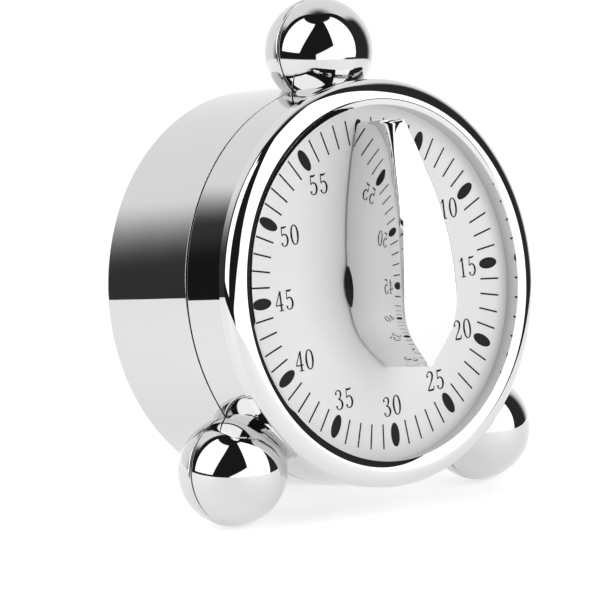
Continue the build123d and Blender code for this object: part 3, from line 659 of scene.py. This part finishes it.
def wall_section(z):
    """Half-width and height pairs up one wall of the wing, from its foot to the face."""
    foot_steps = 4
    wall_steps = 26
    edge_steps = 5
    least_w = 0.02
    foot_w = half_width(z)
    top = -KNOB_FRONT_Y - (z - KNOB_CROWN_Z)**2 / (2 * KNOB_CROWN_R)
    hollow = HOLLOW_LEAST + HOLLOW_GROWTH * (max(z - HOLLOW_FROM_Z, 0) / HOLLOW_LENGTH)**2
    section = []
    for i in range(foot_steps + 1):
        turn = radians(90 * i / foot_steps)
        section.append((foot_w - FOOT_R * (1 - sin(turn)), KNOB_FOOT + FOOT_R * (1 - cos(turn))))
    start = KNOB_FOOT + FOOT_R
    shoulder = top - EDGE_R
    for i in range(1, wall_steps + 1):
        height = start + (shoulder - start) * i / wall_steps
        section.append((wall_half_width(foot_w, height, top, hollow), height))
    shoulder_w = wall_half_width(foot_w, shoulder, top, hollow)
    for i in range(1, edge_steps + 1):
        turn = radians(90 * i / edge_steps)
        section.append((shoulder_w - EDGE_R * (1 - cos(turn)), shoulder + EDGE_R * sin(turn)))
    return [(max(width, least_w), height) for width, height in section]


def make_wing():
    """The wing as a grid: sections along Z, each from one foot over the face to the other."""
    stations = 96
    face_columns = 12
    crease = 50
    points, rows = [], []
    for k in range(1, stations):
        z = KNOB_TAIL_Z + (KNOB_TIP_Z - KNOB_TAIL_Z) * (1 - cos(pi * k / stations)) / 2
        section = wall_section(z)
        face_w, face_h = section[-1]
        across = [(-width, height) for width, height in section]
        flat_w = max(face_w - SUPPORT, face_w / 2)
        across += [(flat_w * (2 * i / face_columns - 1), face_h) for i in range(face_columns + 1)]
        across += [(width, height) for width, height in reversed(section)]
        rows.append([len(points) + i for i in range(len(across))])
        points += [(width, -height, z) for width, height in across]
    faces = []
    for near, far in zip(rows, rows[1:]):
        count = len(near)
        for i in range(count):
            k = (i + 1) % count
            faces.append((near[i], near[k], far[k], far[i]))
    faces.append(tuple(reversed(rows[0])))
    faces.append(tuple(rows[-1]))
    mesh = mesh_from("knob_wing", points, faces, crease)
    mesh.transform(Matrix.Rotation(radians(DIAL_TURN), 4, "Y"))
    new_piece("knob_wing", mesh, "knob", "plated_knob", MATERIALS["knob"], "knob")


def make_skirt():
    """The thin black disc under the wing."""
    front = -KNOB_FOOT - SKIRT_T
    edge = (SKIRT_R - SKIRT_EDGE_R, front + SKIRT_EDGE_R)
    outline = [(SKIRT_BORE_R, front)] + arc(edge, SKIRT_EDGE_R, -90, 0, 6)
    outline += [(SKIRT_R, -KNOB_FOOT), (SKIRT_BORE_R, -KNOB_FOOT)]
    mesh = mesh_from("knob_skirt", *lathe(outline, BALL_STEPS))
    new_piece("knob_skirt", mesh, "knob", "plated_knob", MATERIALS["black"])


make_front_shell()
make_rear_shell()
make_bezel()
make_dial()
make_wing()
make_skirt()

# Floor, light and camera --------------------------------------------------------------------

TABLE_R = 0.33               # metres; past it the plating reflects the studio's own panels
TABLE_STEPS = 96
TABLE_GLOW = 0.55            # keeps the table as white as its surroundings


def make_floor():
    """A round white table under the timer."""
    points = [(*on_circle(TABLE_R, 360 * i / TABLE_STEPS), 0.0) for i in range(TABLE_STEPS)]
    mesh = mesh_from("floor", points, [tuple(range(TABLE_STEPS))])
    floor = bpy.data.objects.new("floor", mesh)
    bpy.context.scene.collection.objects.link(floor)
    material = new_material("pale_floor", (0.7, 0.7, 0.7), 0.0, 0.6)
    shader = material.node_tree.nodes["Principled BSDF"]
    shader.inputs["Emission Color"].default_value = (1, 1, 1, 1)
    shader.inputs["Emission Strength"].default_value = TABLE_GLOW
    mesh.materials.append(material)


BACKDROP = 1.05              # brightness of the white behind the timer


class Sky:
    """Paints the studio by direction: azimuth from -Y towards +X, and elevation, in degrees."""

    def __init__(self, strength):
        world = bpy.data.worlds.new("studio")
        bpy.context.scene.world = world
        world.use_nodes = True
        self.tree = world.node_tree
        coords = self.tree.nodes.new("ShaderNodeTexCoord")
        split = self.tree.nodes.new("ShaderNodeSeparateXYZ")
        self.tree.links.new(coords.outputs["Generated"], split.inputs[0])
        backwards = self.math("MULTIPLY", split.outputs["Y"], -1)
        turn = self.math("ARCTAN2", split.outputs["X"], backwards)
        self.azimuth = self.math("MULTIPLY", turn, 180 / pi)
        rise = self.math("ARCSINE", split.outputs["Z"])
        self.elevation = self.math("MULTIPLY", rise, 180 / pi)
        self.shade = self.math("ADD", strength, 0)

    def math(self, operation, first, second=None, third=None):
        """One sum on values or sockets, as a socket."""
        node = self.tree.nodes.new("ShaderNodeMath")
        node.operation = operation
        for slot, value in enumerate((first, second, third)):
            if value is None:
                continue
            if isinstance(value, (int, float)):
                node.inputs[slot].default_value = value
            else:
                self.tree.links.new(value, node.inputs[slot])
        return node.outputs[0]

    def above(self, coordinate, slanting, slope, edge, soft):
        """A mask that rises to 1 where coordinate passes edge + slope * slanting."""
        lean = self.math("MULTIPLY_ADD", slanting, -slope, coordinate)
        node = self.tree.nodes.new("ShaderNodeMapRange")
        node.interpolation_type = "SMOOTHSTEP"
        node.inputs["From Min"].default_value = edge - soft / 2
        node.inputs["From Max"].default_value = edge + soft / 2
        self.tree.links.new(lean, node.inputs["Value"])
        return node.outputs["Result"]

    def panel(self, brightness, left, right, bottom, top):
        """Lays a panel over what is there; each side is (edge, slope, softness)."""
        az, el = self.azimuth, self.elevation
        mask = self.above(az, el, left[1], left[0], left[2])
        mask = self.math("MULTIPLY", mask, self.above(el, az, bottom[1], bottom[0], bottom[2]))
        for coordinate, slanting, (edge, slope, soft) in ((az, el, right), (el, az, top)):
            below = self.math("SUBTRACT", 1, self.above(coordinate, slanting, slope, edge, soft))
            mask = self.math("MULTIPLY", mask, below)
        change = self.math("SUBTRACT", brightness, self.shade)
        self.shade = self.math("MULTIPLY_ADD", change, mask, self.shade)

    def finish(self):
        """Shows the camera itself a plain white backdrop in place of the studio."""
        nodes, links = self.tree.nodes, self.tree.links
        studio = nodes["Background"]
        studio.inputs["Color"].default_value = (1, 1, 1, 1)
        links.new(self.shade, studio.inputs["Strength"])
        backdrop = nodes.new("ShaderNodeBackground")
        backdrop.inputs["Color"].default_value = (1, 1, 1, 1)
        backdrop.inputs["Strength"].default_value = BACKDROP
        path = nodes.new("ShaderNodeLightPath")
        mix = nodes.new("ShaderNodeMixShader")
        links.new(path.outputs["Is Camera Ray"], mix.inputs["Fac"])
        links.new(studio.outputs["Background"], mix.inputs[1])
        links.new(backdrop.outputs["Background"], mix.inputs[2])
        links.new(mix.outputs["Shader"], nodes["World Output"].inputs["Surface"])


def make_world():
    """A white studio with a dark side, two soft boxes and a table, as the plating sees it."""
    sky = Sky(1.0)
    # the unlit ceiling, then the dark side of the room, where the camera stands
    sky.panel(0.03, (-181, 0, 0.5), (181, 0, 0.5), (73, 0, 24), (91, 0, 0.5))
    sky.panel(0.014, (-130, -0.35, 4), (47, 0.5, 4), (-12, 0, 2), (91, 0, 1))
    # the dark doorway on the left, fading out to the back and upwards
    sky.panel(0.045, (-151.5, 0, 17), (-126, 0, 2), (-12, 0, 2), (34, 0, 12))
    sky.panel(0.012, (-139, 0, 6), (-126, 0, 2), (-12, 0, 2), (34, 0, 12))
    # the dark corner on the right, fading out to the back and upwards
    sky.panel(0.03, (42, 0.1, 2), (96, 0, 24), (-12, 0, 2), (104, -0.75, 18))
    # two tall soft boxes
    sky.panel(1.9, (-126, -0.08, 2), (-84, 0.4, 2), (2, 0, 2), (66, 0, 3))
    sky.panel(1.9, (-6, -0.12, 2), (44.5, 0.1, 0.8), (-7.5, 0, 2), (71, 0, 4))
    # the white table in front, running up to the right
    sky.panel(1.5, (-47, 0, 1), (16, 0, 12), (-90, 0, 1), (21.6, 0.46, 1))
    # the floor beyond the table
    sky.panel(1.15, (-181, 0, 0.5), (181, 0, 0.5), (-91, 0, 0.5), (-11, 0, 2))
    sky.finish()


CAMERA_AT = (-0.45659, -0.51068, 0.14984)
CAMERA_AZIMUTH = radians(-41.344)    # from -Y towards +X
CAMERA_ELEVATION = radians(9.794)
CAMERA_LENS = 263.566
CAMERA_SENSOR = 36.0


def make_camera():
    """A long lens, in front and to the left, a little above the dial."""
    level = cos(CAMERA_ELEVATION)
    back = Vector((sin(CAMERA_AZIMUTH) * level, -cos(CAMERA_AZIMUTH) * level, sin(CAMERA_ELEVATION)))
    data = bpy.data.cameras.new("camera")
    data.lens = CAMERA_LENS
    data.sensor_width = CAMERA_SENSOR
    data.clip_start = 0.05
    data.clip_end = 20
    camera = bpy.data.objects.new("camera", data)
    bpy.context.scene.collection.objects.link(camera)
    camera.location = CAMERA_AT
    camera.rotation_mode = "QUATERNION"
    camera.rotation_quaternion = back.to_track_quat("Z", "Y")
    bpy.context.scene.camera = camera


make_floor()
make_world()
make_camera()
bpy.context.scene.view_settings.view_transform = "Standard"
